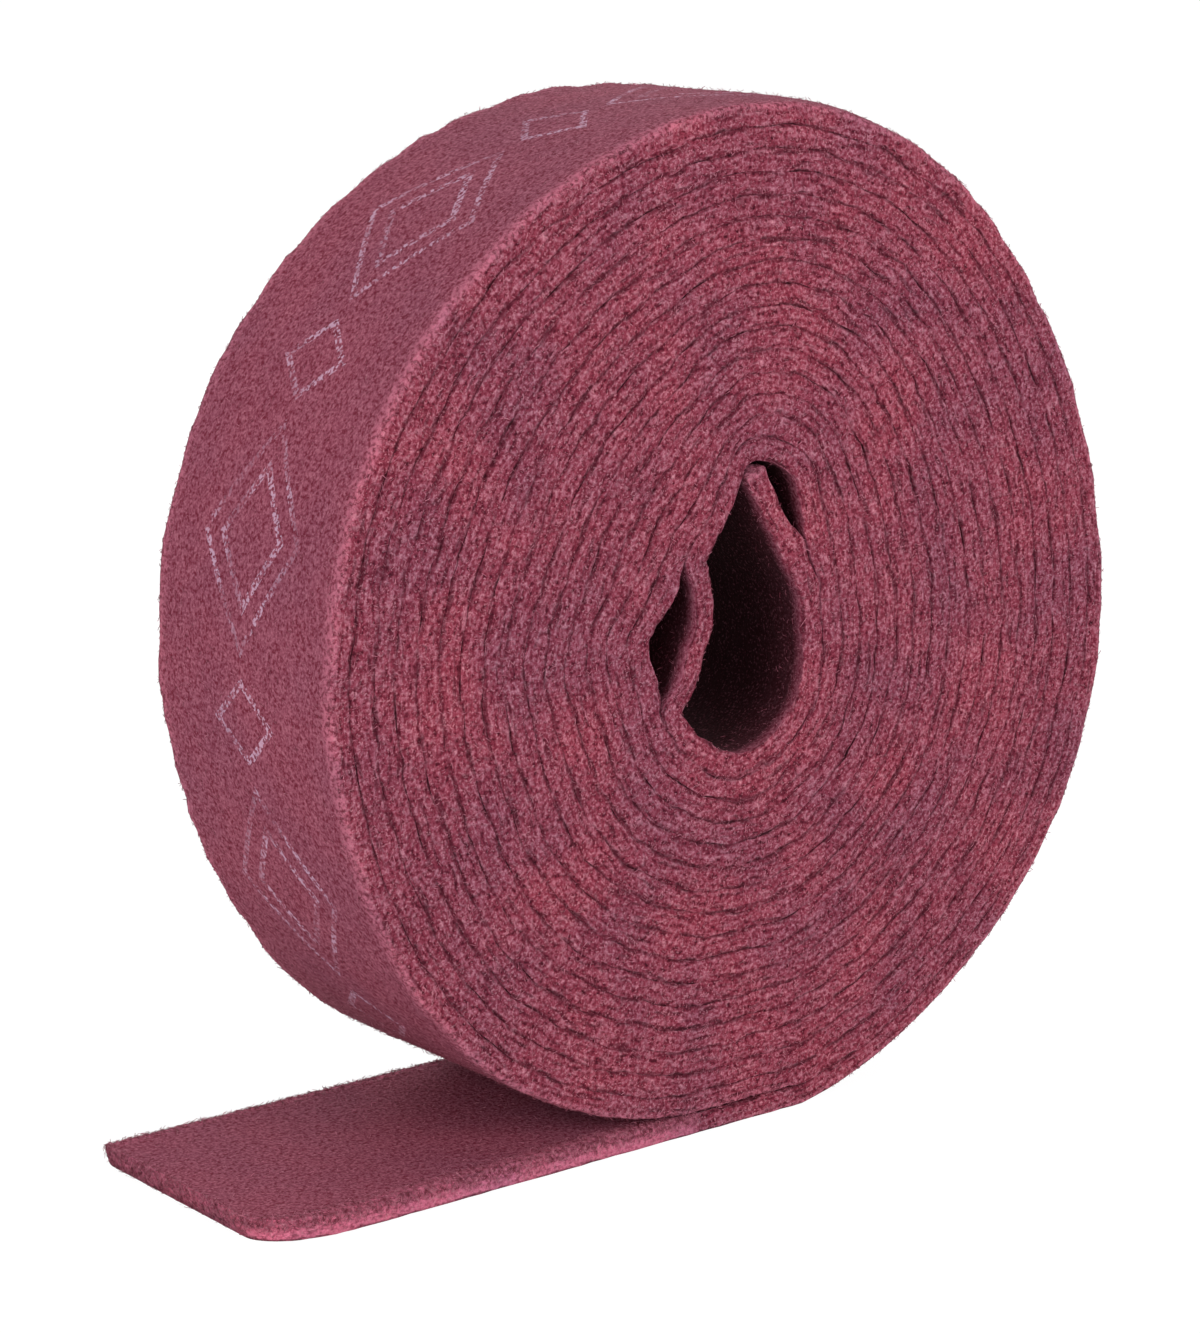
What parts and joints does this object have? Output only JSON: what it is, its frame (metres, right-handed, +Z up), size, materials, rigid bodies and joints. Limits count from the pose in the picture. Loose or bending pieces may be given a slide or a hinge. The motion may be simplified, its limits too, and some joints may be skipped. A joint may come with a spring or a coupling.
{
  "type": "non-woven abrasive roll",
  "caption": "Roll of maroon non-woven abrasive web, wound on itself with no core, with its loose end lying flat and a collapsed eye.",
  "frame": {"origin": "under the middle of the bounding box, on the surface that the roll rests on", "axes": "+X along the loose end towards the roll, +Y across the web along the roll's axis, +Z up"},
  "size_m": [0.3646, 0.1, 0.3488],
  "materials": {
    "web": "open, springy web of bonded maroon nylon fibres with fine abrasive grain, dull all over"
  },
  "bodies": {
    "root": {"wound_web": "web"}
  },
  "joints": []
}
